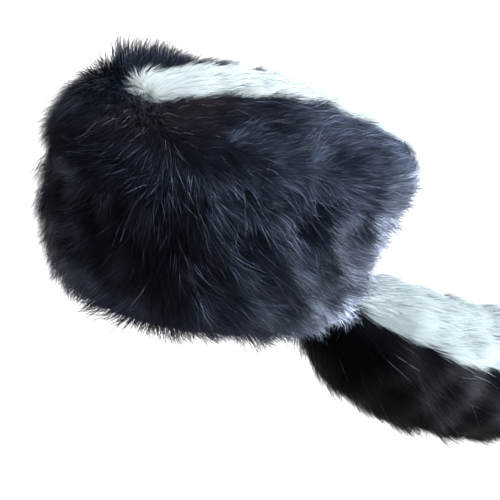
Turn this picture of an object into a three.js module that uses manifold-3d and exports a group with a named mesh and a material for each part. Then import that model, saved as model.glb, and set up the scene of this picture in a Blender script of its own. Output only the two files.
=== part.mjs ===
// A deep-fur winter cap: an oval black band, a domed crown with a white stripe along its middle,
// and a bushy tail at the nape, white above and black below.
// Millimetres. +Z is up, the forehead side faces -Y, and the origin is the centre of the head opening.

import * as THREE from "three";
import { mergeVertices } from "three/addons/utils/BufferGeometryUtils.js";
import Module from "manifold-3d";

const wasm = await Module();
wasm.setup();
const { Manifold, Mesh } = wasm;

// Pelt: the skin that the fur grows on, open below for the head.
const openingWidth = 166;
const openingLength = 208;
const peltThickness = 2.5;
const wallHeight = 120;
const crownRise = 33;
const ovalPower = 2.25;
const seamGap = 0.3;

// Fur depth, from the skin to the tips, and how far the crown's fur hangs over the band's fur.
const bandFurDepth = 21;
const crownFurDepth = 15;
const shoulderDrop = 17;
const hemDrop = 5;
const hemTuck = 0.56;

// The undercoat is this share of the fur's depth. Locks rise from it to their ridges.
const undercoatShare = 0.68;
const rootSink = 0.08;
const ridgeShare = 0.96;
const lockThickness = 0.42;

// Locks of fur. They are widest at their shoulder, a share of the way from root to tip.
// bandSweep is how many degrees the side locks turn back from straight down.
const bandLockWidth = 36;
const bandLockLength = 44;
const bandSweep = 50;
const crownLockWidth = 28;
const crownLockLength = 44;
const crownLockLean = 0.1;
const crownLockSpacing = 0.95;
const lockShoulder = 0.55;
const lockSpread = 0.2;

// White crown stripe. It widens from its start to the back of the crown.
const stripeWidth = 40;
const stripeBackWidth = 58;
const stripeStart = 84;
const stripeRoundness = 14;

// Tail.
const tailLength = 350;
const tailWidth = 108;
const tailHeight = 140;
const tailRootHeight = 10;
const tailCoreDiameter = 16;
const tailCoreReach = 0.86;
const tailUndercoatShare = 0.82;
const tailLockWidth = 40;
const tailLockLength = 60;
const tailLockThickness = 0.24;
const tailNotchClearance = 1.2;
const whiteAbove = 0.36;

const pointsAround = 32;
const pointsRoundTail = 16;
const pointsRoundCore = 10;
const black = 0x15151a;
const white = 0xf2f2ee;
const suede = 0xb39c80;

// The wall leans out a little at the sides and most at the back.
// height is a share of wallHeight; the others are shares of half the opening.
const wallSections = [
  { height: 0.0, width: 1.0, front: 1.0, back: 1.0 },
  { height: 0.1, width: 1.03, front: 1.01, back: 1.03 },
  { height: 0.37, width: 1.09, front: 1.05, back: 1.05 },
  { height: 0.74, width: 1.11, front: 1.08, back: 1.1 },
  { height: 1.0, width: 1.08, front: 1.07, back: 1.22 },
];

// The crown rises fast at its edge and flattens to the middle. reach is the share of the way out.
const domeSections = [
  { reach: 0, height: 1 },
  { reach: 0.26, height: 0.94 },
  { reach: 0.5, height: 0.81 },
  { reach: 0.72, height: 0.64 },
  { reach: 0.88, height: 0.44 },
  { reach: 1, height: 0.2 },
];

// How deep the band's undercoat is, as a share of its full depth, from the hem up.
const bandUndercoat = [
  { height: 0.0, depth: 0.62 },
  { height: 0.1, depth: 0.94 },
  { height: 0.37, depth: 1.0 },
  { height: 0.74, depth: 1.0 },
  { height: 1.0, depth: 0.98 },
];

// Where the tips of the band's rows of locks are, as a share of wallHeight. The first is the hem.
const bandLockTips = [0, 0.2, 0.43, 0.66];

// The tail's middle line in the plane x = 0, as shares of tailLength behind and below its root.
const tailRoute = [
  { behind: 0.0, below: 0.0 },
  { behind: 0.026, below: 0.06 },
  { behind: 0.066, below: 0.11 },
  { behind: 0.117, below: 0.145 },
  { behind: 0.197, below: 0.185 },
  { behind: 0.3, below: 0.231 },
  { behind: 0.411, below: 0.272 },
  { behind: 0.611, below: 0.324 },
  { behind: 0.754, below: 0.356 },
  { behind: 0.943, below: 0.39 },
];

// How full the tail is along its middle line, as a share of its width and height.
const tailFullness = [
  { along: 0.0, full: 0.2 },
  { along: 0.06, full: 0.38 },
  { along: 0.12, full: 0.53 },
  { along: 0.18, full: 0.68 },
  { along: 0.27, full: 0.84 },
  { along: 0.46, full: 0.96 },
  { along: 0.66, full: 1.0 },
  { along: 0.8, full: 0.93 },
  { along: 0.91, full: 0.72 },
  { along: 0.99, full: 0.42 },
  { along: 1.05, full: 0.06 },
];

// Where the tail's rows of locks are rooted, as a share of its length.
const tailLockRoots = [0.15, 0.27, 0.39, 0.52, 0.65, 0.78];

// Where the fur starts, how far round it is on average, and how many locks go down each side.
const skinOffset = peltThickness + seamGap;
const furRadius = (openingWidth + openingLength) / 4 + skinOffset + bandFurDepth;
const locksPerSide = Math.round((Math.PI * furRadius) / bandLockWidth);
const wellAbove = wallHeight + 2 * (crownRise + crownFurDepth);

// One column of a table, read between its rows.
function readTable(rows, input, column, value) {
  let upper = rows.findIndex((row) => row[input] >= value);
  if (upper < 0) upper = rows.length - 1;
  if (upper === 0) upper = 1;
  const [low, high] = [rows[upper - 1], rows[upper]];
  const share = THREE.MathUtils.clamp((value - low[input]) / (high[input] - low[input]), 0, 1);
  return low[column] + (high[column] - low[column]) * share;
}

// A steady factor close to 1 for each lock, so that locks differ a little in length.
function vary(index) {
  const golden = (index * (Math.sqrt(5) - 1)) / 2;
  return 1 + lockSpread * (golden - Math.floor(golden) - 0.5);
}

// Half sizes of the band at a share of its height, grown outwards by an offset.
function bandHalves(share, offset) {
  return {
    width: (openingWidth / 2) * readTable(wallSections, "height", "width", share) + offset,
    front: (openingLength / 2) * readTable(wallSections, "height", "front", share) + offset,
    back: (openingLength / 2) * readTable(wallSections, "height", "back", share) + offset,
  };
}

// A point of an oval ring. Angle 0 is the wearer's left, and a quarter turn on is the back.
function ovalPoint(halves, angle, reach, z) {
  const across = Math.cos(angle);
  const along = Math.sin(angle);
  const length = along < 0 ? halves.front : halves.back;
  const bend = (value) => Math.sign(value) * Math.abs(value) ** (2 / ovalPower);
  return new THREE.Vector3(reach * halves.width * bend(across), reach * length * bend(along), z);
}

// A point of the band at an angle, a share of its height, and an offset out from its inner face.
function bandPoint(angle, share, offset) {
  return ovalPoint(bandHalves(share, offset), angle, 1, share * wallHeight);
}

// Share of the way out from the crown's middle to its edge, over a point of the plan.
function planReach(x, y, halves) {
  const length = y < 0 ? halves.front : halves.back;
  return (Math.abs(x / halves.width) ** ovalPower + Math.abs(y / length) ** ovalPower) ** (1 / ovalPower);
}

// Height of the crown there, at an offset up from its inner face.
function crownHeight(reach, offset) {
  const rise = crownRise + offset;
  return wallHeight + seamGap + rise * readTable(domeSections, "reach", "height", reach);
}

// The tail's root, on the pelt at the nape, and its middle line from there.
const tailRoot = new THREE.Vector3(
  0,
  bandHalves(tailRootHeight / wallHeight, peltThickness).back,
  tailRootHeight,
);
const tailCurve = new THREE.CatmullRomCurve3(
  tailRoute.map(
    ({ behind, below }) =>
      new THREE.Vector3(0, tailRoot.y + behind * tailLength, tailRoot.z - below * tailLength),
  ),
);
const sideways = new THREE.Vector3(1, 0, 0);

// A place along the tail's middle line, with the direction that is up across the tail there.
function tailFrame(along) {
  const at = THREE.MathUtils.clamp(along, 0, 1);
  const tangent = tailCurve.getTangentAt(at);
  const middle = tailCurve.getPointAt(at).addScaledVector(tangent, (along - at) * tailLength);
  return { middle, upwards: new THREE.Vector3().crossVectors(sideways, tangent).normalize() };
}

function tailPoint(angle, along, halfWidth, halfHeight) {
  const { middle, upwards } = tailFrame(along);
  return middle
    .addScaledVector(sideways, Math.cos(angle) * halfWidth)
    .addScaledVector(upwards, Math.sin(angle) * halfHeight);
}

// A point of the tail's fur at a share of its full size there, grown by an offset.
function tailSurface(angle, along, share, offset = 0) {
  const full = readTable(tailFullness, "along", "full", along) * share;
  return tailPoint(angle, along, (tailWidth / 2) * full + offset, (tailHeight / 2) * full + offset);
}

// A manifold solid from points and faces, turned the right way out.
function solidFrom(points, faces) {
  const make = (triVerts) =>
    new Manifold(
      new Mesh({
        numProp: 3,
        vertProperties: new Float32Array(points.flatMap((p) => [p.x, p.y, p.z])),
        triVerts: new Uint32Array(triVerts),
      }),
    );
  const solid = make(faces);
  return solid.volume() > 0 ? solid : make([...faces].reverse());
}

// Faces between each ring of points and the next, for a number of joins.
function ringFaces(rings, joins) {
  const size = rings[0].length;
  const faces = [];
  for (let row = 0; row < joins; row++) {
    const here = row * size;
    const next = ((row + 1) % rings.length) * size;
    for (let i = 0; i < size; i++) {
      const j = (i + 1) % size;
      faces.push(here + i, here + j, next + j, here + i, next + j, next + i);
    }
  }
  return faces;
}

// A hollow wall: its rings run up one face and down the other, and the last joins the first.
function wallLoft(rings) {
  return solidFrom(rings.flat(), ringFaces(rings, rings.length));
}

function middleOf(ring) {
  return ring.reduce((sum, point) => sum.addScaledVector(point, 1 / ring.length), new THREE.Vector3());
}

// A full body through rings, closed at each end by a fan of faces round a hub.
function bodyLoft(rings, lastHub = middleOf(rings.at(-1))) {
  const size = rings[0].length;
  const last = (rings.length - 1) * size;
  const points = [...rings.flat(), middleOf(rings[0]), lastHub];
  const faces = ringFaces(rings, rings.length - 1);
  for (let i = 0; i < size; i++) {
    const j = (i + 1) % size;
    faces.push(last + size, j, i);
    faces.push(last + size + 1, last + i, last + j);
  }
  return solidFrom(points, faces);
}

// The largest separate body of a solid: a trim can leave slivers beside it.
function largestBody(solid) {
  return solid.decompose().sort((a, b) => b.volume() - a.volume())[0];
}

function around(makePoint, count = pointsAround) {
  return Array.from({ length: count }, (_, i) => makePoint((i / count) * 2 * Math.PI));
}

// A lock of fur: a ridge from a root in the undercoat, over a raised shoulder, to a free tip.
// out is the direction away from the skin.
function lock({ root, shoulder, tip, out, width, thickness }) {
  const across = new THREE.Vector3().subVectors(tip, root).cross(out).setLength(width / 2);
  const inwards = out.clone().setLength(-thickness);
  const foot = (ridge, side) => ridge.clone().add(inwards).addScaledVector(across, side);
  const points = [
    foot(root, -0.7),
    foot(root, 0.7),
    root,
    foot(shoulder, -1),
    foot(shoulder, 1),
    shoulder,
    tip,
  ];
  const rootFace = [0, 2, 1];
  const body = [0, 1, 4, 0, 4, 3, 1, 2, 5, 1, 5, 4, 2, 0, 3, 2, 3, 5];
  const point = [3, 4, 6, 4, 5, 6, 5, 3, 6];
  return solidFrom(points, [...rootFace, ...body, ...point]);
}

// Band of pelt: an oval wall, open above and below.
function bandPelt() {
  const face = (offset) =>
    wallSections.map((row) => around((angle) => bandPoint(angle, row.height, offset)));
  return wallLoft([...face(peltThickness), ...face(0).reverse()]);
}

// A domed body from a base height, grown sideways by spread and upwards by offset.
function dome(spread, offset, base) {
  const halves = bandHalves(1, spread);
  const ring = (reach, z) => around((angle) => ovalPoint(halves, angle, reach, z));
  const reaches = domeSections.map((row) => row.reach).filter((reach) => reach > 0);
  return bodyLoft(
    [ring(1, base), ...reaches.reverse().map((reach) => ring(reach, crownHeight(reach, offset)))],
    new THREE.Vector3(0, 0, crownHeight(0, offset)),
  );
}

// Crown of pelt: a shallow domed shell that sits on the band's upper edge.
function crownPelt() {
  const base = wallHeight + seamGap;
  return dome(peltThickness, peltThickness, base).subtract(dome(0, 0, base));
}

// The space of the crown's fur: its lower side slopes down from the seam over the band's fur.
function crownSpace(gap) {
  const ring = (depths, z) =>
    around((angle) => ovalPoint(bandHalves(1, skinOffset + depths * bandFurDepth), angle, 1, z));
  return bodyLoft([
    ring(0, wallHeight + gap),
    ring(2, wallHeight + gap - 2 * shoulderDrop),
    ring(2, wellAbove),
  ]);
}

// The band's locks: they fall from the front middle and sweep back along the sides.
function bandLocks() {
  const locks = [];
  for (const [row, share] of bandLockTips.entries()) {
    const depth = bandFurDepth * (row === 0 ? hemTuck : 1);
    for (let i = 0; i < locksPerSide; i++) {
      for (const side of [-1, 1]) {
        const stagger = row % 2 ? 0.9 : 0.4;
        const tipTurn = ((i + stagger) / locksPerSide) * Math.PI;
        const length = bandLockLength * vary(row * locksPerSide + i);
        const heading = THREE.MathUtils.degToRad(bandSweep) * Math.sin(tipTurn);
        const turn = (length * Math.sin(heading)) / furRadius;
        const drop = (length * Math.cos(heading)) / wallHeight;
        const tipShare = row === 0 ? -hemDrop / wallHeight : share;
        const at = (grown, offset) => {
          const angle = -Math.PI / 2 + side * (tipTurn - turn * (1 - grown));
          return bandPoint(angle, tipShare + drop * (1 - grown), skinOffset + offset);
        };
        locks.push(
          lock({
            root: at(0, depth * (undercoatShare - rootSink)),
            shoulder: at(lockShoulder, depth * ridgeShare),
            tip: at(1, depth),
            out: at(1, 1).sub(at(1, 0)),
            width: bandLockWidth,
            thickness: bandFurDepth * lockThickness,
          }),
        );
      }
    }
  }
  return locks;
}

// Band fur: an undercoat round the band of pelt, with the locks on it.
function bandFur() {
  const depth = bandFurDepth * undercoatShare;
  const outer = bandUndercoat.map((row, index) =>
    around((angle) => {
      const point = bandPoint(angle, row.height, skinOffset + depth * row.depth);
      if (index === 0) point.z = -hemDrop / 2;
      return point;
    }),
  );
  const inner = wallSections.map((row) => around((angle) => bandPoint(angle, row.height, skinOffset)));
  const coat = Manifold.union([wallLoft([...outer, ...inner.reverse()]), ...bandLocks()]);
  return coat.subtract(crownSpace(0)).subtract(bandBlock(seamGap));
}

// The space that the band of pelt takes up, head hollow and all, grown by a gap.
function bandBlock(gap) {
  const rings = wallSections.map((row) =>
    around((angle) => bandPoint(angle, row.height, peltThickness + gap)),
  );
  const below = rings[0].map((point) => point.clone().setZ(-wallHeight));
  return bodyLoft([below, ...rings]);
}

// The crown's locks: they lie in columns from front to back, two of them along the stripe.
function crownLocks() {
  const locks = [];
  const halves = bandHalves(1, skinOffset + bandFurDepth * undercoatShare);
  const columns = [{ x: stripeWidth / 4, width: stripeWidth / 2 }];
  for (let x = (stripeWidth + crownLockWidth) / 2; x < halves.width * 0.93; x += crownLockWidth) {
    columns.push({ x, width: crownLockWidth });
  }
  for (const [index, { x, width }] of columns.entries()) {
    const edge = (1 - (x / halves.width) ** ovalPower) ** (1 / ovalPower);
    const span = (halves.front + halves.back) * edge;
    const count = Math.round(span / (crownLockLength * crownLockSpacing));
    for (let i = 0; i < count; i++) {
      for (const side of [-1, 1]) {
        const stagger = (index + (side > 0 ? 1 : 0)) % 2 ? 0.1 : 0.45;
        const rootY = -halves.front * edge + ((i + stagger) / count) * (span - crownLockLength / 2);
        const length = crownLockLength * vary(index * count + i);
        const lean = index === 0 ? 0 : (crownLockLean * x) / halves.width;
        const at = (grown, offset) => {
          const y = rootY + grown * length;
          const across = side * (x + lean * grown * length);
          const height = crownHeight(planReach(x, y, halves), skinOffset + offset);
          return new THREE.Vector3(across, y, height);
        };
        locks.push(
          lock({
            root: at(0, crownFurDepth * (undercoatShare - rootSink)),
            shoulder: at(lockShoulder, crownFurDepth * ridgeShare),
            tip: at(1, crownFurDepth),
            out: new THREE.Vector3(side * x, 0, wallHeight),
            width,
            thickness: crownFurDepth * lockThickness,
          }),
        );
      }
    }
  }
  return locks;
}

// The crown's edge: a row of locks that hang over the band, swept back along the sides.
function rimLocks() {
  const locks = [];
  const rootHeight = crownHeight(1, skinOffset);
  const ridgeHeight = wallHeight + shoulderDrop / 8;
  for (let i = 0; i < locksPerSide; i++) {
    for (const side of [-1, 1]) {
      const tipTurn = ((i + 0.5) / locksPerSide) * Math.PI;
      const sweep = (bandLockLength / 2 / furRadius) * Math.sin(tipTurn);
      const at = (grown, depths, z) => {
        const halves = bandHalves(1, skinOffset + depths * bandFurDepth);
        return ovalPoint(halves, -Math.PI / 2 + side * (tipTurn - sweep * (1 - grown)), 1, z);
      };
      locks.push(
        lock({
          root: at(0, rootSink, rootHeight),
          shoulder: at(lockShoulder, ridgeShare, ridgeHeight),
          tip: at(1, 1, wallHeight - shoulderDrop * vary(i)),
          out: at(1, 1, 0).sub(at(1, 0, 0)),
          width: bandLockWidth,
          thickness: bandFurDepth * lockThickness,
        }),
      );
    }
  }
  return locks;
}

// All the crown's fur in one body: a domed undercoat over the pelt, with the locks on it.
function crownCoat() {
  const spread = skinOffset + bandFurDepth * undercoatShare;
  const rise = skinOffset + crownFurDepth * undercoatShare;
  const undercoat = dome(spread, rise, wallHeight - 2 * shoulderDrop);
  return Manifold.union([undercoat, ...crownLocks(), ...rimLocks()])
    .subtract(dome(skinOffset, skinOffset, 0))
    .subtract(bandBlock(seamGap))
    .intersect(crownSpace(seamGap));
}

// The stripe's outline in plan, from its rounded start to past the back of the crown.
function stripeColumn(growth) {
  const half = stripeWidth / 2 + growth;
  const start = -stripeStart - growth;
  const back = bandHalves(1, bandFurDepth * 3).back;
  const corner = Math.min(stripeRoundness, half);
  const bend = [0, 0.5, 1].map((share) => [
    half - corner + corner * Math.cos((share * Math.PI) / 2),
    start + corner - corner * Math.sin((share * Math.PI) / 2),
  ]);
  const leftSide = [[stripeBackWidth / 2 + growth, back], ...bend];
  const rightSide = leftSide.map(([x, y]) => [-x, y]).reverse();
  const ring = (z) => [...leftSide, ...rightSide].map(([x, y]) => new THREE.Vector3(x, y, z));
  return bodyLoft([ring(0), ring(wellAbove)]);
}

// A narrow tube along the tail's middle line, grown by a gap.
function coreTube(gap) {
  const stops = [0, 0.06, 0.14, 0.28, 0.46, 0.66, tailCoreReach];
  const radius = tailCoreDiameter / 2 + gap;
  return bodyLoft(
    stops.map((along) => around((angle) => tailPoint(angle, along, radius, radius), pointsRoundCore)),
  );
}

// The space round the tail's middle line at a share of its size, grown by a clearance.
function tailBody(share, clearance = 0) {
  return bodyLoft(
    tailFullness.map(({ along }) =>
      around((angle) => tailSurface(angle, along, share, clearance), pointsRoundTail),
    ),
  );
}

// The tail's locks: they lie along it and point to its end.
function tailLocks() {
  const locks = [];
  for (const [row, along] of tailLockRoots.entries()) {
    const full = readTable(tailFullness, "along", "full", along);
    const girth = (Math.PI * (tailWidth + tailHeight) * full) / 2;
    const count = Math.round(girth / tailLockWidth);
    for (let i = 0; i < count; i++) {
      const angle = ((i + (row % 2) / 2) / count) * 2 * Math.PI;
      const reach = (tailLockLength / tailLength) * vary(row * count + i);
      const widest = along + reach * lockShoulder;
      locks.push(
        lock({
          root: tailSurface(angle, along, tailUndercoatShare - rootSink),
          shoulder: tailSurface(angle, widest, 1),
          tip: tailSurface(angle, along + reach, 1),
          out: tailSurface(angle, widest, 1).sub(tailFrame(widest).middle),
          width: tailLockWidth,
          thickness: (tailHeight / 2) * full * tailLockThickness,
        }),
      );
    }
  }
  return locks;
}

// Space above a level of the tail, a share of its half height over the middle line.
function tailUpperSide(gap) {
  const rings = tailFullness.map(({ along, full }, index) => {
    const past = index === 0 ? -0.1 : index === tailFullness.length - 1 ? 0.1 : 0;
    const { middle, upwards } = tailFrame(along + past);
    const low = (whiteAbove * full * tailHeight) / 2 + gap;
    const corner = (side, up) =>
      middle.clone().addScaledVector(sideways, side * tailWidth).addScaledVector(upwards, up);
    return [corner(-1, low), corner(1, low), corner(1, tailHeight), corner(-1, tailHeight)];
  });
  return bodyLoft(rings);
}

// A named mesh of a manifold solid.
function toMesh(name, solid, color, roughness) {
  const { numProp, numVert, vertProperties, triVerts } = solid.getMesh();
  const positions = new Float32Array(numVert * 3);
  for (let i = 0; i < numVert; i++) {
    positions.set(vertProperties.subarray(i * numProp, i * numProp + 3), i * 3);
  }
  const indexed = new THREE.BufferGeometry()
    .setAttribute("position", new THREE.BufferAttribute(positions, 3))
    .setIndex(new THREE.BufferAttribute(triVerts, 1));
  const geometry = mergeVertices(indexed, 1e-4);
  geometry.computeVertexNormals();
  const mesh = new THREE.Mesh(
    geometry,
    new THREE.MeshStandardMaterial({ color, roughness, metalness: 0 }),
  );
  mesh.name = name;
  return mesh;
}

const crown = crownCoat();
const stripe = largestBody(crown.intersect(stripeColumn(-seamGap / 2)));
const crownBlack = largestBody(crown.subtract(stripeColumn(seamGap / 2)));

const tail = Manifold.union([tailBody(tailUndercoatShare), ...tailLocks()])
  .subtract(coreTube(seamGap))
  .subtract(bandBlock(seamGap));
const tailWhite = largestBody(tail.intersect(tailUpperSide(seamGap / 2)));
const tailBlack = largestBody(tail.subtract(tailUpperSide(-seamGap / 2)));
const tailCore = largestBody(coreTube(0).subtract(bandBlock(seamGap)));
const band = largestBody(bandFur().subtract(tailBody(1, tailNotchClearance)));

const cap = new THREE.Group();
cap.add(
  toMesh("band_pelt", bandPelt(), suede, 0.85),
  toMesh("crown_pelt", crownPelt(), suede, 0.85),
  toMesh("band_fur", band, black, 0.7),
  toMesh("crown_fur", crownBlack, black, 0.7),
  toMesh("crown_stripe", stripe, white, 0.8),
  toMesh("tail_core", tailCore, suede, 0.85),
  toMesh("tail_fur_white", tailWhite, white, 0.8),
  toMesh("tail_fur_black", tailBlack, black, 0.7),
);

export default cap;
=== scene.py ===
# %% [markdown]
# # A deep-fur cap with a striped crown and a bushy tail
# The cap is a band and a domed crown of pelt, with thick black fur outside, a white stripe of fur
# from front to back over the crown, and a tail at the nape that is white above and black below.
# The frame holds the solids: the pelt's walls and the outer form of each area of fur. This lesson
# dresses them. Each area of fur gets a soft body, for the dense underfur that the eye can't see
# into, and tens of thousands of separate guard hairs that lie over it.

# %% Load the frame
import math

import bpy
import numpy as np
from mathutils import Matrix, Vector, kdtree
from mathutils.bvhtree import BVHTree


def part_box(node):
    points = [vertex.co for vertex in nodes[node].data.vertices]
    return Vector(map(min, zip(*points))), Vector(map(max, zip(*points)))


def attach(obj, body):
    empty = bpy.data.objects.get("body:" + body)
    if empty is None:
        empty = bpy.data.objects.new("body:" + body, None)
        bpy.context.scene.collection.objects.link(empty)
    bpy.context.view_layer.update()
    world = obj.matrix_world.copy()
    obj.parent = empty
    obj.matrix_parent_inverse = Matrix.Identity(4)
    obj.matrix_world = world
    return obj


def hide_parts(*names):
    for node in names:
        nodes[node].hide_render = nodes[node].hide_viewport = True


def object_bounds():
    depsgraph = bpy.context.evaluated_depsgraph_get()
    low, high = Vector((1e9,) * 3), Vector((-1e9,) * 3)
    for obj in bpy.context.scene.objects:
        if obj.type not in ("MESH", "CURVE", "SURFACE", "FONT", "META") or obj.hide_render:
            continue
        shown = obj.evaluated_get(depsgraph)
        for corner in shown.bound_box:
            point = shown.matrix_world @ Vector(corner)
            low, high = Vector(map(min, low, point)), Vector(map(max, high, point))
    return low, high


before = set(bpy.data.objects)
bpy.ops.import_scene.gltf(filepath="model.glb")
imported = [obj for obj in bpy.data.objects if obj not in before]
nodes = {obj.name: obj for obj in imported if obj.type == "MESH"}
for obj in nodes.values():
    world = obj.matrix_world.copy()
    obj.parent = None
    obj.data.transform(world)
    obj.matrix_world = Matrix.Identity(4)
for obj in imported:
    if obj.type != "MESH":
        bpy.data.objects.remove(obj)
cad_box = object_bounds()
MM = 0.001
bpy.ops.object.select_all(action="DESELECT")
print("frame nodes:", sorted(nodes))

# %% [markdown]
# ## Colours and nodes
# Colours are written as sRGB hex values, as a painter would pick them, and one function turns them
# into the linear values that the shader works in. Another small function adds a node with its
# settings and its links, so that each material below reads as a short list of steps.


# %% Colour and node helpers
def linear(hex_colour):
    """The linear RGBA of an sRGB hex colour."""
    channels = [int(hex_colour[i : i + 2], 16) / 255 for i in (1, 3, 5)]
    curve = [c / 12.92 if c <= 0.04045 else ((c + 0.055) / 1.055) ** 2.4 for c in channels]
    return (*curve, 1.0)


def add(tree, kind, inputs=None, **settings):
    """Adds a node. inputs holds socket values, or another node's socket to link from."""
    node = tree.nodes.new(kind)
    for key, value in settings.items():
        setattr(node, key, value)
    for key, value in (inputs or {}).items():
        if isinstance(value, bpy.types.NodeSocket):
            tree.links.new(value, node.inputs[key])
        else:
            node.inputs[key].default_value = value
    return node


def new_material(name):
    """An empty node material, with its output node."""
    material = bpy.data.materials.new(name)
    material.use_nodes = True
    material.node_tree.nodes.clear()
    return material, material.node_tree


print("black of the fur, linear:", [round(c, 4) for c in linear("#0c0d12")[:3]])

# %% [markdown]
# ## Fur materials
# A guard hair is a thin keratin shaft, smooth and clear on the outside, so it has a tight gloss
# like that of a fingernail: IOR 1.55. Black fur gets its life from that gloss, and from a painted
# glint on the tips of a few hairs. Seen together, thousands of hairs that each face a little
# differently spread the gloss into a silky sheen. White fur has almost no pigment, so light passes
# between its hairs and comes back soft and a little warm in the depth. Each hair carries three
# numbers, in place of a texture: shade, which differs from hair to hair and picks the hairs with
# pale tips, grown, which runs from 0 at its root to 1 at its tip, and warmth, which is above 0 only
# where the sun has bleached the black to brown.


# %% Guard hair and underfur materials
def guard_hair(name, colours, glint_hex, glint_and_tone_share, roughness, gloss, sheen):
    """Keratin shafts, root to tip; pale tips paint a glint on black hair and a grey tone on white."""
    material, tree = new_material(name)
    grown = add(tree, "ShaderNodeAttribute", attribute_name="grown")
    shade = add(tree, "ShaderNodeAttribute", attribute_name="shade")
    warmth = add(tree, "ShaderNodeAttribute", attribute_name="warmth")
    root, tip, warm, pale = (linear(hex_colour) for hex_colour in colours)
    tips = add(
        tree,
        "ShaderNodeMix",
        {0: warmth.outputs["Fac"], 6: tip, 7: warm},
        data_type="RGBA",
    )
    along = add(
        tree,
        "ShaderNodeMix",
        {0: grown.outputs["Fac"], 6: root, 7: tips.outputs[2]},
        data_type="RGBA",
    )
    # Pale tips on a share of hairs: a painted glint on black hair, a greyer tone on white hair.
    glint_and_tone_hair = add(
        tree,
        "ShaderNodeMath",
        {0: shade.outputs["Fac"], 1: 1 - glint_and_tone_share},
        operation="GREATER_THAN",
    )
    glint_and_tone_tip = add(
        tree,
        "ShaderNodeMath",
        {0: glint_and_tone_hair.outputs[0], 1: grown.outputs["Fac"]},
        operation="MULTIPLY",
    )
    mixed = add(
        tree,
        "ShaderNodeMix",
        {0: glint_and_tone_tip.outputs[0], 6: along.outputs[2], 7: pale},
        data_type="RGBA",
    )
    shader = add(
        tree,
        "ShaderNodeBsdfPrincipled",
        {
            "Base Color": mixed.outputs[2],
            "Roughness": roughness,
            "IOR": 1.55,
            "Specular IOR Level": gloss,
            "Sheen Weight": sheen,
            "Specular Tint": linear(glint_hex),
            "Sheen Roughness": 0.4,
            "Sheen Tint": linear(glint_hex),
        },
    )
    add(tree, "ShaderNodeOutputMaterial", {"Surface": shader.outputs[0]})
    return material


def underfur(name, low_hex, high_hex):
    """Dense wool-like underfur: matte, with a fine uneven nap about 3 mm across."""
    material, tree = new_material(name)
    place = add(tree, "ShaderNodeTexCoord")
    nap = add(
        tree,
        "ShaderNodeTexNoise",
        {"Vector": place.outputs["Object"], "Scale": 1 / (3 * MM), "Detail": 4.0},
    )
    tint = add(tree, "ShaderNodeValToRGB", {"Fac": nap.outputs["Fac"]})
    tint.color_ramp.elements[0].position = 0.35
    tint.color_ramp.elements[0].color = linear(low_hex)
    tint.color_ramp.elements[1].position = 0.7
    tint.color_ramp.elements[1].color = linear(high_hex)
    bump = add(
        tree,
        "ShaderNodeBump",
        {"Height": nap.outputs["Fac"], "Strength": 0.6, "Distance": 1.5 * MM},
    )
    shader = add(
        tree,
        "ShaderNodeBsdfPrincipled",
        {
            "Base Color": tint.outputs["Color"],
            "Roughness": 0.9,
            "Normal": bump.outputs["Normal"],
            "Specular IOR Level": 0.1,
        },
    )
    add(tree, "ShaderNodeOutputMaterial", {"Surface": shader.outputs[0]})
    return material


# The colours of a hair's root, of its tip, of a sun-bleached tip and of a pale tip. On black hair
# the pale tip is a painted glint, on white hair a greyer tone.
BLACK_HAIR = ("#020203", "#08090d", "#2b1712", "#8b909c")
WHITE_HAIR = ("#c9cdcb", "#d8e1e4", "#dbd6ca", "#cac9c1")
# The tail's white hair is painted greyer than the stripe's white: painted shade.
TAIL_WHITE_HAIR_IN_PAINTED_SHADE = ("#a4abad", "#afb9bd", "#cfcabe", "#aeaea7")
BLUE_GLINT = "#a7bae5"
CLEAR_GLINT = "#ffffff"
black_guard = guard_hair(
    "black_guard_hair", BLACK_HAIR, BLUE_GLINT, glint_and_tone_share=0.03, roughness=0.38, gloss=0.75, sheen=0.2
)
black_down = guard_hair(
    "black_down_hair", BLACK_HAIR, BLUE_GLINT, glint_and_tone_share=0.0, roughness=0.5, gloss=0.65, sheen=0.2
)
tail_black_guard = guard_hair(
    "tail_black_guard_hair",
    BLACK_HAIR,
    BLUE_GLINT,
    glint_and_tone_share=0.002,
    roughness=0.55,
    gloss=0.05,
    sheen=0.0,
)
white_guard = guard_hair(
    "white_guard_hair", WHITE_HAIR, CLEAR_GLINT, glint_and_tone_share=0.1, roughness=0.5, gloss=0.3, sheen=0.0
)
# Painted shade: the tail's white hair is greyer than the stripe's white hair.
tail_white_guard_in_painted_shade = guard_hair(
    "tail_white_guard_hair_in_painted_shade",
    TAIL_WHITE_HAIR_IN_PAINTED_SHADE,
    CLEAR_GLINT,
    glint_and_tone_share=0.1,
    roughness=0.5,
    gloss=0.2,
    sheen=0.0,
)
black_wool = underfur("black_underfur", "#020203", "#08080b")
white_wool = underfur("white_underfur", "#bdbfbb", "#d9dcda")
print("fur materials:", black_guard.name, white_guard.name, black_wool.name, white_wool.name)

# %% [markdown]
# ## Pelt
# Inside, the cap shows the skin side of the pelt. Tanned and buffed skin is suede: matte, with a
# short nap that scuffs lighter and darker in patches a few centimetres across. Where it faces up,
# under the crown's fur, it is dark with the roots of the hairs.


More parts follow.
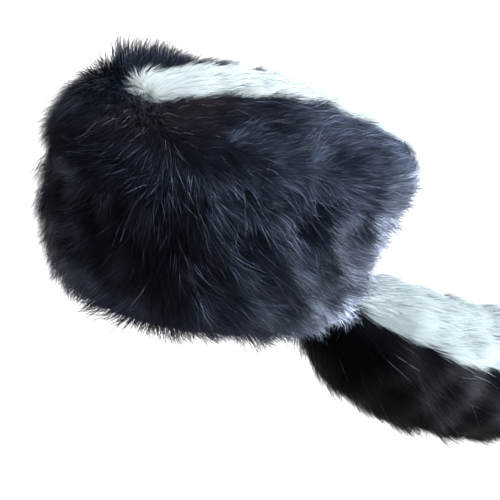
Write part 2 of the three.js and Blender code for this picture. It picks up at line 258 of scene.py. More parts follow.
# %% Suede on the pelt's solids
def suede_skin(name, dark_above):
    """Buffed skin side of a tanned pelt, dark where its normal's Z is above a value."""
    material, tree = new_material(name)
    place = add(tree, "ShaderNodeTexCoord")
    scuffs = add(
        tree,
        "ShaderNodeTexNoise",
        {"Vector": place.outputs["Object"], "Scale": 1 / (35 * MM), "Detail": 5.0},
    )
    nap = add(
        tree,
        "ShaderNodeTexNoise",
        {"Vector": place.outputs["Object"], "Scale": 1 / (0.9 * MM), "Detail": 3.0},
    )
    tint = add(tree, "ShaderNodeValToRGB", {"Fac": scuffs.outputs["Fac"]})
    tint.color_ramp.elements[0].position = 0.3
    tint.color_ramp.elements[0].color = linear("#9c8468")
    tint.color_ramp.elements[1].position = 0.72
    tint.color_ramp.elements[1].color = linear("#cdb898")
    facing = add(tree, "ShaderNodeSeparateXYZ", {"Vector": place.outputs["Normal"]})
    furred = add(
        tree,
        "ShaderNodeMath",
        {0: facing.outputs["Z"], 1: dark_above},
        operation="GREATER_THAN",
    )
    skin = add(
        tree,
        "ShaderNodeMix",
        {0: furred.outputs[0], 6: tint.outputs["Color"], 7: linear("#08080b")},
        data_type="RGBA",
    )
    bump = add(
        tree,
        "ShaderNodeBump",
        {"Height": nap.outputs["Fac"], "Strength": 0.5, "Distance": 0.4 * MM},
    )
    shader = add(
        tree,
        "ShaderNodeBsdfPrincipled",
        {
            "Base Color": skin.outputs[2],
            "Roughness": 0.92,
            "Normal": bump.outputs["Normal"],
            "Specular IOR Level": 0.15,
            "Sheen Weight": 0.25,
        },
    )
    add(tree, "ShaderNodeOutputMaterial", {"Surface": shader.outputs[0]})
    return material


# A normal's Z is never above 1, so the first value leaves a pelt pale all round.
ABOVE_ANY_NORMAL = 1.5
DOME_NORMAL = 0.5
suede = suede_skin("buffed_suede", ABOVE_ANY_NORMAL)
domed_suede = suede_skin("buffed_suede_under_fur", DOME_NORMAL)
for node_name, skin in [("band_pelt", suede), ("crown_pelt", domed_suede), ("tail_core", suede)]:
    nodes[node_name].data.materials.clear()
    nodes[node_name].data.materials.append(skin)
print("suede on 3 solids")

# %% [markdown]
# ## Soft bodies of underfur
# Under the guard hairs the fur is so dense that it reads as one soft body. It has the form of the
# frame's solid, so a copy of that solid is the start. Its loose triangles are merged, a voxel
# Remesh turns them into even skin, Smooth melts the locks into soft swells, and Displace draws the
# skin in so that the hairs have room to lie over it. Where two areas of fur meet, a second Displace
# swells the skin instead, because sewn furs close over their seam. A last Displace presses in the
# dents that handling leaves in deep fur.


# %% Small helpers on arrays of points
def unit(vectors):
    """Vectors of length 1."""
    return vectors / np.maximum(np.linalg.norm(vectors, axis=-1, keepdims=True), 1e-9)


def soft_step(low, high, value):
    """0 at low, 1 at high, and a soft rise between them."""
    share = np.clip((value - low) / (high - low), 0, 1)
    return share * share * (3 - 2 * share)


def near(points, place_mm, radius_mm):
    """1 at a place, falling softly to 0 a radius or two away."""
    away = np.linalg.norm(points - np.array(place_mm) * MM, axis=1) / (radius_mm * MM)
    return np.exp(-(away**2))


def ripple(points, size_mm, seed):
    """A smooth wandering value from about -1 to 1, with swells about size_mm across."""
    waves = np.random.default_rng(seed)
    total = np.zeros(len(points))
    for _ in range(5):
        direction = unit(waves.normal(size=3)) * waves.uniform(0.6, 1.5)
        phase = waves.uniform(0, 2 * math.pi)
        total += np.sin(points @ direction * (2 * math.pi / (size_mm * MM)) + phase)
    return total / 3


print("ripple at the origin:", round(float(ripple(np.zeros((1, 3)), 50, 1)[0]), 3))


# %% Where the fur is dented, in millimetres
DENTS = [
    ((82, -43, 146), 16),
    ((98, 13, 137), 15),
    ((108, 1, 106), 14),
    ((109, 52, 112), 13),
    ((106, -32, 112), 12),
    ((-92, -30, 138), 16),
    ((-104, 40, 90), 15),
]
print("dents:", len(DENTS))


def dented(points):
    """How far each point lies in a dent, and the way its hairs fan out of it."""
    depth = np.zeros(len(points))
    fan = np.zeros((len(points), 3))
    for place, radius in DENTS:
        share = near(points, place, radius)
        depth += share
        fan += share[:, None] * unit(points - np.array(place) * MM)
    return depth, fan


# %% Soften a copy of a solid
MERGE_MM = 0.01


def edit_points(obj, action):
    """Runs a mesh operator on all of an object in edit mode."""
    bpy.ops.object.select_all(action="DESELECT")
    obj.select_set(True)
    bpy.context.view_layer.objects.active = obj
    bpy.ops.object.mode_set(mode="EDIT")
    bpy.ops.mesh.select_all(action="SELECT")
    action()
    bpy.ops.object.mode_set(mode="OBJECT")


def apply_all(obj):
    """Applies an object's modifiers in their order."""
    for modifier in [m.name for m in obj.modifiers]:
        bpy.ops.object.modifier_apply(modifier=modifier)


def away_from(obj, node_name):
    """Distance from each vertex to a frame solid, in metres."""
    solid = nodes[node_name].data
    skin = BVHTree.FromPolygons([v.co for v in solid.vertices], [p.vertices for p in solid.polygons])
    return np.array([skin.find_nearest(v.co)[3] for v in obj.data.vertices])


def displace(obj, name, share, amount_mm):
    """Moves the skin along its normals, by a share of the amount at each vertex."""
    group = obj.vertex_groups.new(name=name)
    for index, weight in enumerate(share):
        group.add([index], float(weight), "REPLACE")
    modifier = obj.modifiers.new(name, "DISPLACE")
    modifier.vertex_group = name
    modifier.strength = amount_mm * MM
    modifier.mid_level = 0.0


def underfur_body(
    node_name, name, material, meets, voxel_mm, smoothing, draw_in_mm, swell_mm, close_mm, dent_mm
):
    """A soft, even copy of a frame solid that closes over its seam with the node it meets."""
    body = bpy.data.objects.new(name, nodes[node_name].data.copy())
    bpy.context.scene.collection.objects.link(body)
    edit_points(body, lambda: bpy.ops.mesh.remove_doubles(threshold=MERGE_MM * MM))
    remesh = body.modifiers.new("even_skin", "REMESH")
    remesh.mode = "VOXEL"
    remesh.voxel_size = voxel_mm * MM
    smooth = body.modifiers.new("melt_locks", "SMOOTH")
    smooth.factor = 0.5
    smooth.iterations = smoothing
    apply_all(body)
    seam = away_from(body, meets)
    displace(body, "draw_in", soft_step(0.3 * close_mm * MM, close_mm * MM, seam), -draw_in_mm)
    beside_seam = 1 - soft_step(0.3 * close_mm * MM, 0.9 * close_mm * MM, seam)
    displace(body, "close_seam", beside_seam, swell_mm)
    apply_all(body)
    places = np.array([v.co for v in body.data.vertices])
    displace(body, "dents", np.clip(dented(places)[0], 0, 1), -dent_mm)
    apply_all(body)
    bpy.ops.object.shade_smooth()
    body.vertex_groups.clear()
    body.data.materials.clear()
    body.data.materials.append(material)
    print(name, "faces:", len(body.data.polygons))
    return body


band_body = underfur_body(
    "band_fur",
    "band_underfur",
    black_wool,
    meets="crown_fur",
    voxel_mm=4.5,
    smoothing=12,
    draw_in_mm=5.0,
    swell_mm=2.5,
    close_mm=13,
    dent_mm=5.0,
)
crown_body = underfur_body(
    "crown_fur",
    "crown_underfur",
    black_wool,
    meets="band_fur",
    voxel_mm=4.5,
    smoothing=8,
    draw_in_mm=4.5,
    swell_mm=0.4,
    close_mm=6,
    dent_mm=0.3,
)
stripe_body = underfur_body(
    "crown_stripe",
    "stripe_underfur",
    white_wool,
    meets="band_fur",
    voxel_mm=3.0,
    smoothing=5,
    draw_in_mm=1.0,
    swell_mm=0.4,
    close_mm=6,
    dent_mm=0.2,
)

# %% [markdown]
# The tail is one round brush, and only its colour changes along a line on each flank. If each
# colour were softened alone, its thin edge would shrink away from the other. So both solids are
# swollen a little until they meet, joined, softened as one, and only then cut into two colours,
# each face going to the solid that it lies nearest to.


# %% Soften the tail whole, then cut it in two colours
TAIL_MEET_MM = 2.0
TAIL_VOXEL_MM = 5.0
TAIL_SMOOTHING = 44


def loose_copy(node_name, swell_mm):
    """A merged copy of a frame solid, swollen a little."""
    copy = bpy.data.objects.new(node_name + "_copy", nodes[node_name].data.copy())
    bpy.context.scene.collection.objects.link(copy)
    edit_points(copy, lambda: bpy.ops.mesh.remove_doubles(threshold=MERGE_MM * MM))
    displace(copy, "meet", np.ones(len(copy.data.vertices)), swell_mm)
    apply_all(copy)
    return copy


upper, lower = (loose_copy(name, TAIL_MEET_MM) for name in ("tail_fur_white", "tail_fur_black"))
bpy.ops.object.select_all(action="DESELECT")
upper.select_set(True)
lower.select_set(True)
bpy.context.view_layer.objects.active = lower
bpy.ops.object.join()
remesh = lower.modifiers.new("even_skin", "REMESH")
remesh.mode = "VOXEL"
remesh.voxel_size = TAIL_VOXEL_MM * MM
smooth = lower.modifiers.new("melt_locks", "SMOOTH")
smooth.factor = 0.5
smooth.iterations = TAIL_SMOOTHING
apply_all(lower)
bpy.ops.object.shade_smooth()
lower.vertex_groups.clear()
to_white, to_black = away_from(lower, "tail_fur_white"), away_from(lower, "tail_fur_black")
is_white = [
    bool(sum(to_white[v] - to_black[v] for v in polygon.vertices) < 0)
    for polygon in lower.data.polygons
]
edit_points(lower, lambda: bpy.ops.mesh.select_all(action="DESELECT"))
lower.data.polygons.foreach_set("select", is_white)
bpy.ops.object.mode_set(mode="EDIT")
bpy.ops.mesh.separate(type="SELECTED")
bpy.ops.object.mode_set(mode="OBJECT")
tail_black_body = lower
tail_white_body = next(o for o in bpy.context.selected_objects if o is not lower)
for body, name, material in [
    (tail_white_body, "tail_white_underfur", white_wool),
    (tail_black_body, "tail_black_underfur", black_wool),
]:
    body.name = name
    body.data.materials.clear()
    body.data.materials.append(material)
    print(name, "faces:", len(body.data.polygons))

# %% [markdown]
# ## Guard hairs
# A hair could be a curve with a round section, but at this size it is thinner than a pixel, and a
# tube would cost twenty faces. Each guard hair is instead one tapering ribbon of three triangles, as
# in the hair cards of games, and each shorter down hair below them is a single triangle. A ribbon is
# turned a little about its own length and takes a part of the skin's normal, so that together the
# ribbons shine like round hairs. The hairs start at points scattered evenly over the underfur, rise
# from the skin and lie down along the way that the fur is combed. Neighbours lean together into
# small locks round a shared leader, and a few locks grow longer than the rest, which breaks the
# surface into the soft tufts of real fur.


# %% Scatter roots over a body
def scatter(body, count, keep):
    """Root points and skin normals, evenly by area over the faces that keep() picks."""
    mesh = body.data
    mesh.calc_loop_triangles()
    corners = np.empty(len(mesh.loop_triangles) * 3, np.int32)
    mesh.loop_triangles.foreach_get("vertices", corners)
    corners = corners.reshape(-1, 3)
    places = np.array([v.co for v in mesh.vertices])
    skin = np.array([n.vector for n in mesh.vertex_normals])
    a, b, c = places[corners[:, 0]], places[corners[:, 1]], places[corners[:, 2]]
    area = np.linalg.norm(np.cross(b - a, c - a), axis=1)
    weight = area * keep((a + b + c) / 3, unit(skin[corners].sum(axis=1)))
    chosen = corners[rng.choice(len(weight), size=count, p=weight / weight.sum())]
    u, v = np.sort(rng.random((2, count)), axis=0)
    share = np.stack([u, v - u, 1 - v], axis=1)[:, :, None]
    return (places[chosen] * share).sum(axis=1), unit((skin[chosen] * share).sum(axis=1))


SEED = 2024
rng = np.random.default_rng(SEED)
print("hair seed:", SEED)


# %% Lay hairs from their roots
ROOT_SINK_MM = 0.8
HAIRS_PER_LOCK = 36
LOCK_PULL = 0.36
STRAY_RARITY = 6
DOWN_SCALE = 0.72
TRIM_AT = np.array([8.0, 10.0, 8.0]) * MM
GROWN = np.array([0.0, 0.55, 1.0])
print("hairs bend at", GROWN[1], "of their length")


def lay_hairs(roots, skin, comb, rise_mm, reach_mm, jitter=0.22, lock_mm=6, pull=LOCK_PULL, stray=0.7):
    """Each hair's root, bend and tip, by how far it rises from the skin and reaches along the comb.

    jitter turns hairs and locks aside, pull draws them to their leader, stray lengthens a few locks.
    """
    comb = unit(comb - (comb * skin).sum(axis=1, keepdims=True) * skin)
    across = np.cross(skin, comb)
    leaders = rng.choice(len(roots), size=len(roots) // HAIRS_PER_LOCK, replace=False)
    tree = kdtree.KDTree(len(leaders))
    for index, leader in enumerate(leaders):
        tree.insert(roots[leader], index)
    tree.balance()
    nearest = [tree.find(root)[1] for root in roots]
    leader_of = leaders[nearest]
    gap = roots[leader_of] - roots
    pull_in = pull * np.clip(1.4 - np.linalg.norm(gap, axis=1) / (lock_mm * MM), 0.25, 1)
    lean = rng.normal(0, 0.6 * jitter, len(roots))[leader_of] + rng.normal(0, jitter, len(roots))
    size = 0.75 + 0.5 * rng.random(len(roots))
    size *= 1 + stray * rng.random(len(leaders))[nearest] ** STRAY_RARITY
    lifted = rise_mm * MM * size * (1 + rng.normal(0, 0.2, len(roots)))
    laid = reach_mm * MM * size
    points = []
    for grown in GROWN:
        up = lifted * (2 * grown - grown**2) - ROOT_SINK_MM * MM * (1 - grown)
        forward = laid * (0.35 * grown + 0.65 * grown**2)
        sideways = laid * lean * grown**2
        point = roots + skin * up[:, None] + comb * forward[:, None] + across * sideways[:, None]
        points.append(point + gap * (pull_in * grown**2)[:, None])
    return trim(np.stack(points, axis=1))


def trim(hairs):
    """Shortens the few hairs whose tips stand too far out of the frame's box."""
    low = np.array(cad_box[0]) - TRIM_AT
    high = np.array(cad_box[1]) + TRIM_AT
    root, tip = hairs[:, 0], hairs[:, 2]
    room = np.where(tip > root, high - root, root - low)
    share = np.clip(room / np.maximum(np.abs(tip - root), 1e-6), 0.2, 1).min(axis=1)
    return root[:, None] + (hairs - root[:, None]) * share[:, None, None]


# %% Weave the hairs into one mesh of ribbons
MAX_TURN = 1.0
BEND_WIDTH = 0.8
print("width of a hair at its bend:", BEND_WIDTH, "of that at its root")


def weave_hairs(name, hairs, skin, width_mm, material, soft, warmth=None):
    """Tapering ribbons: a quad from root to bend, if there is a bend, and a triangle to the tip.

    soft is how much of the skin's own normal each hair takes, so that light flows over the coat.
    """
    count = len(hairs)
    along = unit(hairs[:, 1] - hairs[:, 0])
    side = unit(np.cross(along, skin))
    facing = np.cross(side, along)
    turn = rng.uniform(-MAX_TURN, MAX_TURN, count)[:, None]
    half = (side * np.cos(turn) + facing * np.sin(turn)) * width_mm * MM / 2
    half *= rng.uniform(0.7, 1.3, count)[:, None]
    shine = unit(unit(np.cross(half, along)) * (1 - soft) + skin * soft)
    corners = [hairs[:, 0] - half, hairs[:, 0] + half, hairs[:, -1]]
    grown = [0.0, 0.0, 1.0]
    faces = [[0, 1, 2]]
    if hairs.shape[1] == 3:
        corners[2:2] = [hairs[:, 1] + half * BEND_WIDTH, hairs[:, 1] - half * BEND_WIDTH]
        grown[2:2] = [GROWN[1], GROWN[1]]
        faces = [[0, 1, 2, 3], [3, 2, 4]]
    first = np.arange(count)[:, None] * len(corners)
    loops = np.concatenate([(first + face).ravel() for face in faces])
    sizes = np.repeat([len(face) for face in faces], count)
    mesh = bpy.data.meshes.new(name)
    mesh.vertices.add(count * len(corners))
    mesh.vertices.foreach_set("co", np.stack(corners, axis=1).ravel().astype(np.float32))
    mesh.loops.add(len(loops))
    mesh.loops.foreach_set("vertex_index", loops.astype(np.int32))
    mesh.polygons.add(len(sizes))
    mesh.polygons.foreach_set("loop_start", (np.cumsum(sizes) - sizes).astype(np.int32))
    mesh.polygons.foreach_set("use_smooth", np.ones(len(sizes), bool))
    mesh.update(calc_edges=True)
    warmth = np.zeros(count) if warmth is None else warmth
    per_corner = {
        "shade": np.repeat(rng.random(count), len(corners)),
        "warmth": np.repeat(warmth, len(corners)),
        "grown": np.tile(grown, count),
    }
    for key, values in per_corner.items():
        mesh.attributes.new(key, "FLOAT", "POINT").data.foreach_set("value", values)
    mesh.normals_split_custom_set_from_vertices(np.repeat(shine, len(corners), axis=0))
    mesh.materials.append(material)
    hair = bpy.data.objects.new(name, mesh)
    bpy.context.scene.collection.objects.link(hair)
    print(name, "hairs:", count, "triangles:", (2 * len(faces) - 1) * count)
    return hair


# %% [markdown]
# ## The band's coat
# On the band the fur falls from the crown's edge and is brushed back along the sides. At the
# forehead it parts: in front of the parting it turns forwards and stands out, and behind it it
# lies closer. Handling has left a few dents, where the hairs fan apart and lie lower. The comb
# direction is worked out at each root from these few rules and a slow ripple.

# %% Comb the band
BAND_RISE_MM = 7.0
BAND_REACH_MM = 16.0
# A spot is a place and a radius in millimetres. Here the sun has bleached the black a little.
FADED_SPOT = ((80, -95, 60), 45)


def angle_from_front(points):
    """Degrees round from the forehead, 180 at the nape."""
    outward = unit(points * [1, 1, 0])
    return np.degrees(np.arccos(np.clip(-outward[:, 1], -1, 1)))


def band_comb(points):
    """The way the side fur lies: down, and round towards the nape."""
    round_back = np.cross([0, 0, 1.0], unit(points * [1, 1, 0]))
    round_back *= np.where(points[:, 0] < 0, -1, 1)[:, None]
    turned = angle_from_front(points)
    swept = 48 * soft_step(34, 62, turned) + 22 * soft_step(80, 120, turned)
    swept *= 1 - 0.8 * soft_step(160, 180, turned)
    forwards = 26 * (1 - soft_step(30, 46, turned)) * soft_step(0, 14, turned)
    heading = np.radians(swept - forwards + 20 * ripple(points, 90, 11))
    lie = round_back * np.sin(heading)[:, None] - np.array([0, 0, 1]) * np.cos(heading)[:, None]
    return lie + 1.5 * dented(points)[1]


def outer_band(points, normals):
    """The band's outer faces and its hem."""
    outward = (normals * unit(points * [1, 1, 0])).sum(axis=1)
    hem = (normals[:, 2] < -0.3) & (points[:, 2] < 6 * MM)
    return (outward > 0.25) | hem


def softness(hairs):
    """How much of the skin's normal each hair takes: more at the forehead, which lies in shade."""
    front = 1 - soft_step(35, 60, angle_from_front(hairs[:, 0]))
    return (0.4 + 0.25 * front)[:, None]


def band_hairs(count, scale):
    """Hairs of the band, their skin and their warmth. They are a little shorter at the hem."""
    roots, skin = scatter(band_body, count, outer_band)
    low_down = 1 - soft_step(0, 26 * MM, roots[:, 2])
    front = 1 - soft_step(35, 70, angle_from_front(roots))
    lower_in_dents = 1 - 0.3 * np.clip(dented(roots)[0], 0, 1)
    rise = (BAND_RISE_MM + 2 * ripple(roots, 60, 5)) * lower_in_dents + front
    comb = band_comb(roots)
    lock = LOCK_PULL + 0.45 * low_down
    reach = (BAND_REACH_MM - 2 * low_down) * scale
    hairs = lay_hairs(roots, skin, comb, rise * scale, reach, pull=lock, stray=1.1)
    return hairs, skin, 0.5 * near(roots, *FADED_SPOT)


hairs, skin, warm = band_hairs(count=40000, scale=1.0)
band_hair = weave_hairs(
    "band_guard_hair",
    hairs,
    skin,
    width_mm=0.32,
    material=black_guard,
    soft=softness(hairs),
    warmth=warm,
)
hairs, skin, warm = band_hairs(count=100000, scale=DOWN_SCALE)
band_down = weave_hairs(
    "band_down_hair", hairs[:, ::2], skin, width_mm=0.26, material=black_down, soft=0.6, warmth=warm
)

# %% [markdown]
# ## The crown's coat and the white stripe
# The crown is combed from the forehead to the nape. Its edge spills over the band, so the hairs
# there turn outwards and down. At the front of the top they stand up instead, in loose spiky tips,
# and beside the stripe's start the black is sun-bleached to a warm brown. The white stripe starts
# in a small whorl, where hairs splay out round its rounded end.

# %% Comb the crown
crown_low, crown_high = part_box("crown_fur")
stripe_low, stripe_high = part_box("crown_stripe")
EDGE_MM = 22.0
edge_height = crown_low.z + EDGE_MM * MM
CROWN_RISE_MM = 6.5
CROWN_REACH_MM = 15.0
BESIDE_STRIPE_MM = 62
# Spots where the hairs stand up, lie short and dense, stand in a ridge or are bleached.
SPIKY_SPOTS = [((-50, -68, 150), 32), ((-75, -30, 148), 25)]
PLUSH_SPOTS = [((20, -88, 150), 42), ((70, -60, 145), 30)]
RIDGE_SPOTS = [((97, 25, 132), 15), ((93, 55, 130), 16), ((82, 84, 130), 15)]
BLEACHED_SPOT = ((30, -72, 158), 30)
print("crown edge at", round(edge_height * 1000), "mm")


def crown_comb(points):
    """Front to back over the dome, and outwards and down at its edge."""
    sideways = 0.5 * points[:, 0] / crown_high.x + 0.3 * ripple(points, 70, 21)
    top = unit(np.stack([sideways, np.ones(len(points)), np.zeros(len(points))], axis=1))
    front = soft_step(-60 * MM, -105 * MM, points[:, 1])[:, None]
    forwards = unit(unit(points * [1, 1, 0]) + np.array([0.8, 0, 0]))
    top = unit(top * (1 - front) + forwards * front) + 1.5 * dented(points)[1]
    edge = 1 - soft_step(edge_height, edge_height + 16 * MM, points[:, 2])[:, None]
    return top * (1 - edge) + band_comb(points) * edge


def outer_crown(points, normals):
    """The crown's faces that look up or outwards."""
    outward = (normals * unit(points * [1, 1, 0])).sum(axis=1)
    return (normals[:, 2] > 0.25) | (outward > 0.35)


def crown_hairs(count, scale):
    """Hairs of the crown, their skin and their warmth. At the front they stand up."""
    roots, skin = scatter(crown_body, count, outer_crown)
    tuft = near(roots, *SPIKY_SPOTS[0]) + 0.25 * near(roots, *SPIKY_SPOTS[1])
    plush = np.clip(sum(near(roots, *spot) for spot in PLUSH_SPOTS), 0, 1)
    rim = 1 - soft_step(edge_height, edge_height + 18 * MM, roots[:, 2])
    lower_in_dents = 1 - 0.5 * np.clip(dented(roots)[0], 0, 1)
    rise = (CROWN_RISE_MM + 1.5 * ripple(roots, 50, 31)) * lower_in_dents
    rise += (12 + 16 * rng.random(count) ** 4) * tuft - 2 * plush
    rise -= 3 * rim * (1 - soft_step(30, 60, angle_from_front(roots)))
    beside_stripe = np.abs(roots[:, 0]) < BESIDE_STRIPE_MM * MM
    rise -= 3 * (beside_stripe * soft_step(40 * MM, 90 * MM, roots[:, 1]))
    ridge = sum(near(roots, *spot) for spot in RIDGE_SPOTS)
    rise += 4 * ridge
    short = np.clip(tuft + 0.6 * plush, 0, 1)
    reach = np.maximum(CROWN_REACH_MM - 8 * short + 7 * rim - 6 * ridge, 5)
    rise = np.maximum(rise, 2.5)
    hairs = lay_hairs(roots, skin, crown_comb(roots), rise * scale, reach * scale)
    return hairs, skin, near(roots, *BLEACHED_SPOT)


hairs, skin, warm = crown_hairs(count=36000, scale=1.0)
crown_hair = weave_hairs(
    "crown_guard_hair",
    hairs,
    skin,
    width_mm=0.32,
    material=black_guard,
    soft=softness(hairs),
    warmth=warm,
)
hairs, skin, warm = crown_hairs(count=90000, scale=DOWN_SCALE)
crown_down = weave_hairs(
    "crown_down_hair", hairs[:, ::2], skin, width_mm=0.26, material=black_down, soft=0.6, warmth=warm
)


# %% Comb the stripe
STRIPE_RISE_MM = 4.0
STRIPE_REACH_MM = 16.0
SHINE_THROUGH = np.array([0, 0, 0.6])
print("stripe from", round(stripe_low.y * 1000), "to", round(stripe_high.y * 1000), "mm")


def stripe_comb(points):
    """Straight back along the stripe, splayed round its start."""
    sideways = 0.1 * points[:, 0] / stripe_high.x
    back = np.stack([sideways, np.ones(len(points)), np.zeros(len(points))], axis=1)
    start = 1 - soft_step(stripe_low.y, stripe_low.y + 8 * MM, points[:, 1])[:, None]
    splay = unit(points * [1, 0, 0] + np.array([-4, -9, 0]) * MM)
    return back * (1 - start) + splay * start


def stripe_hairs(count, scale):
    """Hairs of the stripe and their skin. At its start they stand up and splay.

    The skin's normals lean upwards, because white hair lets light from above through.
    """
    roots, skin = scatter(stripe_body, count, outer_crown)
    start = 1 - soft_step(stripe_low.y, stripe_low.y + 9 * MM, roots[:, 1])
    comb = stripe_comb(roots)
    rise = (STRIPE_RISE_MM + 4 * start) * scale
    reach = (STRIPE_REACH_MM - 10 * start) * scale
    hairs = lay_hairs(roots, skin, comb, rise, reach, jitter=0.16, lock_mm=5, pull=0.5, stray=0.3)
    return hairs, unit(skin + SHINE_THROUGH)


hairs, skin = stripe_hairs(count=18000, scale=1.0)
stripe_hair = weave_hairs(
    "stripe_guard_hair", hairs, skin, width_mm=0.36, material=white_guard, soft=0.75
)
hairs, skin = stripe_hairs(count=40000, scale=DOWN_SCALE)
stripe_down = weave_hairs(
    "stripe_down_hair", hairs[:, ::2], skin, width_mm=0.28, material=white_guard, soft=0.85
)

# %% [markdown]
# ## The tail's coat
# The tail is the longest fur on the cap. All of it points to the tip, and the hairs on its flanks
# droop. The tail's middle line is read from the frame: at each place behind the cap it runs midway
# between the top of the white fur and the underside of the black fur.


# %% Find the tail's middle line
def outline_heights(node_name, pick, stations):
    """The highest or lowest point of a solid near each station along Y."""
    places = np.array([v.co for v in nodes[node_name].data.vertices])
    near_by = [places[np.abs(places[:, 1] - station) < 14 * MM, 2] for station in stations]
    return np.array([pick(heights) for heights in near_by])


tail_low, tail_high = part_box("tail_fur_black")
stations = np.linspace(tail_low.y + 12 * MM, tail_high.y - 8 * MM, 16)
tail_top = outline_heights("tail_fur_white", np.max, stations)
tail_bottom = outline_heights("tail_fur_black", np.min, stations)
tail_middle = (tail_top + tail_bottom) / 2
print("tail middle line, mm:", [round(float(z) * 1000) for z in tail_middle])


# %% Comb the tail
TAIL_REACH_MM = 28
TAIL_DOWN_SCALE = 0.7


def outer_tail(points, normals):
    """Faces of the tail that look away from its middle line."""
    middle = np.interp(points[:, 1], stations, tail_middle)
    outward = np.stack([points[:, 0], np.zeros(len(points)), points[:, 2] - middle], axis=1)
    return (normals * unit(outward)).sum(axis=1) > 0.1


def tail_comb(points, droop):
    """Along the tail to its tip, with a droop."""
    slope = np.interp(points[:, 1], stations, np.gradient(tail_middle, stations))
    along = unit(np.stack([np.zeros(len(points)), np.ones(len(points)), slope], axis=1))
    wander = 0.2 * ripple(points, 80, 41)[:, None] * np.array([0.5, 0, 1.0])
    return along + wander - np.array([0, 0, 1.0]) * droop


def tail_hairs(body, count, scale, droop, rise, jitter, pull):
    """Hairs of the tail and their skin. Under the tail they hang a little."""
    roots, skin = scatter(body, count, outer_tail)
    under = np.clip(-skin[:, 2], 0, 1)
    comb = tail_comb(roots, (droop * (1 + 1.5 * under))[:, None])
    rise = (rise + 2 * under) * scale
    reach = TAIL_REACH_MM * scale
    hairs = lay_hairs(roots, skin, comb, rise, reach, jitter=jitter, lock_mm=9, pull=pull)
    return hairs, skin


hairs, skin = tail_hairs(
    tail_white_body, count=28000, scale=1.0, droop=0.04, rise=3.5, jitter=0.12, pull=0.3
)
tail_white_hair = weave_hairs(
    "tail_white_guard_hair_in_painted_shade", hairs, skin, width_mm=0.42, material=tail_white_guard_in_painted_shade, soft=0.8
)
hairs, skin = tail_hairs(
    tail_white_body, count=60000, scale=TAIL_DOWN_SCALE, droop=0.04, rise=3.5, jitter=0.12, pull=0.2
)
tail_white_down = weave_hairs(
    "tail_white_down_hair", hairs[:, ::2], skin, width_mm=0.3, material=tail_white_guard_in_painted_shade, soft=0.85
)

hairs, skin = tail_hairs(
    tail_black_body, count=36000, scale=1.0, droop=0.25, rise=4.5, jitter=0.16, pull=0.5
)
tail_black_hair = weave_hairs(
    "tail_black_guard_hair", hairs, skin, width_mm=0.42, material=tail_black_guard, soft=0.72
)
hairs, skin = tail_hairs(
    tail_black_body, count=60000, scale=TAIL_DOWN_SCALE, droop=0.25, rise=4.5, jitter=0.16, pull=0.3
)
tail_black_down = weave_hairs(
    "tail_black_down_hair", hairs[:, ::2], skin, width_mm=0.3, material=tail_black_guard, soft=0.6
)

# %% [markdown]
# ## Join the coat to the frame
# Every piece rides on the cap's one body. Each soft body stands for the solid that it was made
# from, and the hairs ride beside it.

# %% Attach each piece to the cap's body and hide the solid it replaces
coats = [
    (band_body, band_hair, band_down, "band_fur", "black_fur"),
    (crown_body, crown_hair, crown_down, "crown_fur", "black_fur"),
    (stripe_body, stripe_hair, stripe_down, "crown_stripe", "white_fur"),
    (tail_white_body, tail_white_hair, tail_white_down, "tail_fur_white", "white_fur"),
    (tail_black_body, tail_black_hair, tail_black_down, "tail_fur_black", "black_fur"),
]
for body, hair, down, node_name, slot_name in coats:
    for piece in (body, hair, down):
        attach(piece, "root")
    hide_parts(node_name)
print("pieces:", [piece.name for coat in coats for piece in coat[:3]])

# %% [markdown]
# ## Floor, light and camera
# The cap is held up, so the floor lies well below it. Two soft lamps give the black fur its
# blue-grey sheen: a wide panel overhead on the picture's right, and a small reflector low on the
# far right. No lamp stands on the forehead side, which stays dark. A very wide lamp hangs low over
# the floor behind the cap, only to make the ground white. The camera looks down at the cap's left
# front and is rolled a little.

# %% Pale floor
FLOOR_BELOW = 1.0
FLOOR_SIZE = 40
bpy.ops.mesh.primitive_plane_add(size=FLOOR_SIZE, location=(0, 0, -FLOOR_BELOW))
floor = bpy.context.object
floor.name = "floor"
floor_material, tree = new_material("matt_white_floor")
paint = add(tree, "ShaderNodeBsdfPrincipled", {"Base Color": linear("#fbfbfb"), "Roughness": 0.9})
add(tree, "ShaderNodeOutputMaterial", {"Surface": paint.outputs[0]})
floor.data.materials.append(floor_material)
print("floor", FLOOR_BELOW, "m below the rim")


# %% Studio lights
def area_light(name, target, azimuth, elevation, distance, size, power, spread, colour):
    """A square soft lamp that looks at a target, and isn't seen itself."""
    a, e = math.radians(azimuth), math.radians(elevation)
    direction = Vector((math.sin(a) * math.cos(e), -math.cos(a) * math.cos(e), math.sin(e)))
    light = bpy.data.lights.new(name, "AREA")
    light.size = size
    light.energy = power
    light.spread = math.radians(spread)
    light.color = linear(colour)[:3]
    lamp = bpy.data.objects.new(name, light)
    lamp.location = Vector(target) + direction * distance
    lamp.rotation_euler = direction.to_track_quat("Z", "Y").to_euler()
    lamp.visible_camera = False
    bpy.context.scene.collection.objects.link(lamp)
    return lamp


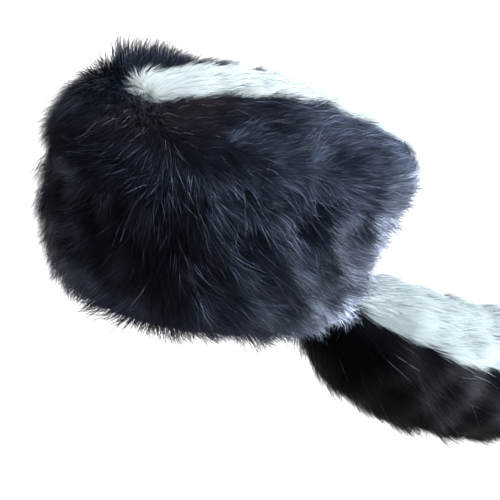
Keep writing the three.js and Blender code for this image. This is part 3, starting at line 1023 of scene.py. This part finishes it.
CAP_AND_ROOT = (0, 0.08, 0.06)
area_light(
    "low_reflector",
    CAP_AND_ROOT,
    azimuth=160,
    elevation=-15,
    distance=2.4,
    size=0.9,
    power=31,
    spread=60,
    colour="#f0f8ff",
)
area_light(
    "ceiling_panel",
    CAP_AND_ROOT,
    azimuth=134,
    elevation=58,
    distance=2.4,
    size=1.6,
    power=27,
    spread=60,
    colour="#f4fbff",
)
GROUND_BEHIND = (-4.3, 5.95, -FLOOR_BELOW)
GROUND_TURN = math.radians(60)
ground_light = area_light(
    "ground_light",
    GROUND_BEHIND,
    azimuth=0,
    elevation=90,
    distance=1.6,
    size=12.0,
    power=800,
    spread=150,
    colour="#ffffff",
)
ground_light.rotation_euler = (0, 0, GROUND_TURN)
AMBIENT = 0.07
world = bpy.data.worlds.new("studio")
bpy.context.scene.world = world
world.use_nodes = True
world.node_tree.nodes["Background"].inputs["Color"].default_value = linear("#f2f5ff")
world.node_tree.nodes["Background"].inputs["Strength"].default_value = AMBIENT
bpy.context.scene.view_settings.view_transform = "Standard"

# %% Camera
VIEW_AZIMUTH = math.radians(60)
VIEW_ELEVATION = math.radians(20)
VIEW_ROLL = math.radians(13.5)
VIEW_DISTANCE = 0.8
CAP_MIDDLE = Vector((0, 0, 0.069))
AIM_RIGHT = 0.0231
AIM_DOWN = 0.0385
LENS = 74.9
SENSOR_WIDTH = 36

towards_camera = Vector(
    (
        math.sin(VIEW_AZIMUTH) * math.cos(VIEW_ELEVATION),
        -math.cos(VIEW_AZIMUTH) * math.cos(VIEW_ELEVATION),
        math.sin(VIEW_ELEVATION),
    )
)
level = Vector((math.cos(VIEW_AZIMUTH), math.sin(VIEW_AZIMUTH), 0))
upright = towards_camera.cross(level)
right = level * math.cos(VIEW_ROLL) + upright * math.sin(VIEW_ROLL)
up = upright * math.cos(VIEW_ROLL) - level * math.sin(VIEW_ROLL)
camera_place = CAP_MIDDLE + towards_camera * VIEW_DISTANCE
aim = CAP_MIDDLE + right * AIM_RIGHT - up * AIM_DOWN
backwards = (camera_place - aim).normalized()
across = up.cross(backwards).normalized()
over = backwards.cross(across)
camera_data = bpy.data.cameras.new("camera")
camera_data.lens = LENS
camera_data.sensor_width = SENSOR_WIDTH
camera = bpy.data.objects.new("camera", camera_data)
camera.matrix_world = Matrix.Translation(camera_place) @ Matrix(
    (across, over, backwards)
).transposed().to_4x4()
bpy.context.scene.collection.objects.link(camera)
bpy.context.scene.camera = camera
print("camera at", [round(c, 3) for c in camera_place])
